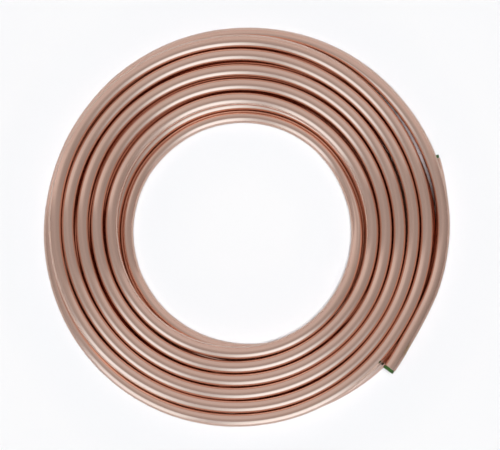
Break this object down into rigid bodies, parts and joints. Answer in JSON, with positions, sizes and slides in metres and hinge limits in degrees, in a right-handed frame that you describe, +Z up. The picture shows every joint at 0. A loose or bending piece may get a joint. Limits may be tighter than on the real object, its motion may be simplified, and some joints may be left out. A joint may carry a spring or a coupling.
{
  "type": "copper tube coil",
  "caption": "Soft copper tube wound flat in two layers round an open eye, both ends on the outside and plugged.",
  "frame": {"origin": "bottom centre of the bounding box, on the floor that the coil lies on", "axes": "+Z up along the coil's axis, out of its upper flat end; +X towards the side where the two plugged ends are; +Y away from the tail's open end"},
  "size_m": [0.5008, 0.492, 0.0318],
  "materials": {
    "copper": "bright drawn soft copper, satin, faint draw lines and light handling marks",
    "plug_plastic": "moulded green plastic, satin"
  },
  "bodies": {
    "root": {"tube_coil": "copper", "end_plug_top": "plug_plastic", "end_plug_lower": "plug_plastic"}
  },
  "joints": []
}
